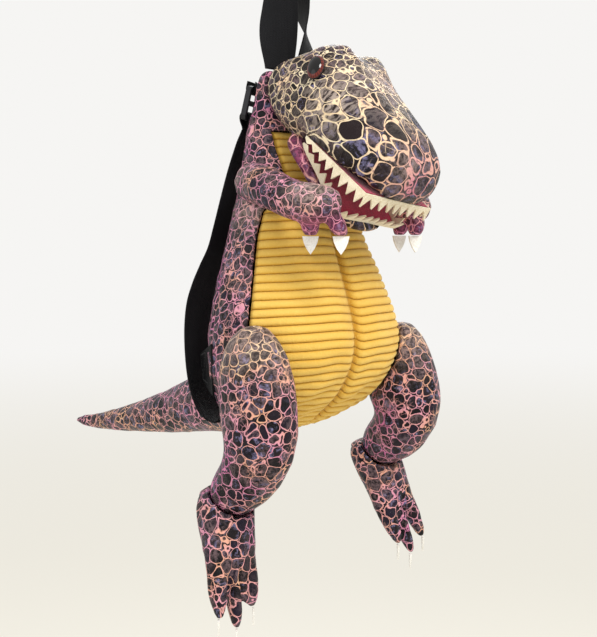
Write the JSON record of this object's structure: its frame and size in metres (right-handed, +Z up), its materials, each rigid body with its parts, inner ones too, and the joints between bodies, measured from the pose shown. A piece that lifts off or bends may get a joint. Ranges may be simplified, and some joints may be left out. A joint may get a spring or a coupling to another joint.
{
  "type": "child's plush dinosaur backpack",
  "caption": "Child's plush backpack shaped as an upright two-legged dinosaur, with ribbed belly, open toothed mouth, stuffed limbs and tail, hung by its webbing handle.",
  "frame": {"origin": "under the top of the handle loop, where a hook carries the bag", "axes": "+Z up, -Y the way the belly and head face, +X the animal's left side"},
  "size_m": [0.2391, 0.4371, 0.518],
  "materials": {
    "scale_print": "foil-printed plush, dark cells with a pink net",
    "head_print": "foil-printed plush, dark cells with a cream net",
    "corduroy": "golden yellow wide-wale corduroy",
    "zip": "nylon coil and woven tape",
    "webbing": "black woven webbing",
    "buckle": "moulded, satin",
    "teeth": "cream felt",
    "claws": "white felt",
    "mouth": "crimson felt",
    "eye": "polished dome, black with a red-brown ring"
  },
  "bodies": {
    "root": {"body_shell": "scale_print", "belly_panel": "corduroy", "back_zip": "zip", "tail": "scale_print", "handle_loop": "webbing", "head_upper": "head_print", "upper_teeth": "teeth", "mouth_lining_upper": "mouth", "lower_jaw": "head_print", "lower_teeth": "teeth", "mouth_lining_lower": "mouth", "eye_right": "eye", "eye_left": "eye", "arm_right": "scale_print", "arm_left": "scale_print", "leg_right": "scale_print", "leg_left": "scale_print", "foot_right": "scale_print", "foot_left": "scale_print", "strap_tab_right": "webbing", "strap_tab_left": "webbing", "strap_right": "webbing", "strap_left": "webbing", "strap_anchor_right": "webbing", "strap_anchor_left": "webbing", "buckle_right": "buckle", "buckle_left": "buckle", "hand_claw_right_rear": "claws", "hand_claw_right_front": "claws", "hand_claw_left_rear": "claws", "hand_claw_left_front": "claws", "toe_claw_right_inner": "claws", "toe_claw_right_middle": "claws", "toe_claw_right_outer": "claws", "toe_claw_left_inner": "claws", "toe_claw_left_middle": "claws", "toe_claw_left_outer": "claws"}
  },
  "joints": []
}
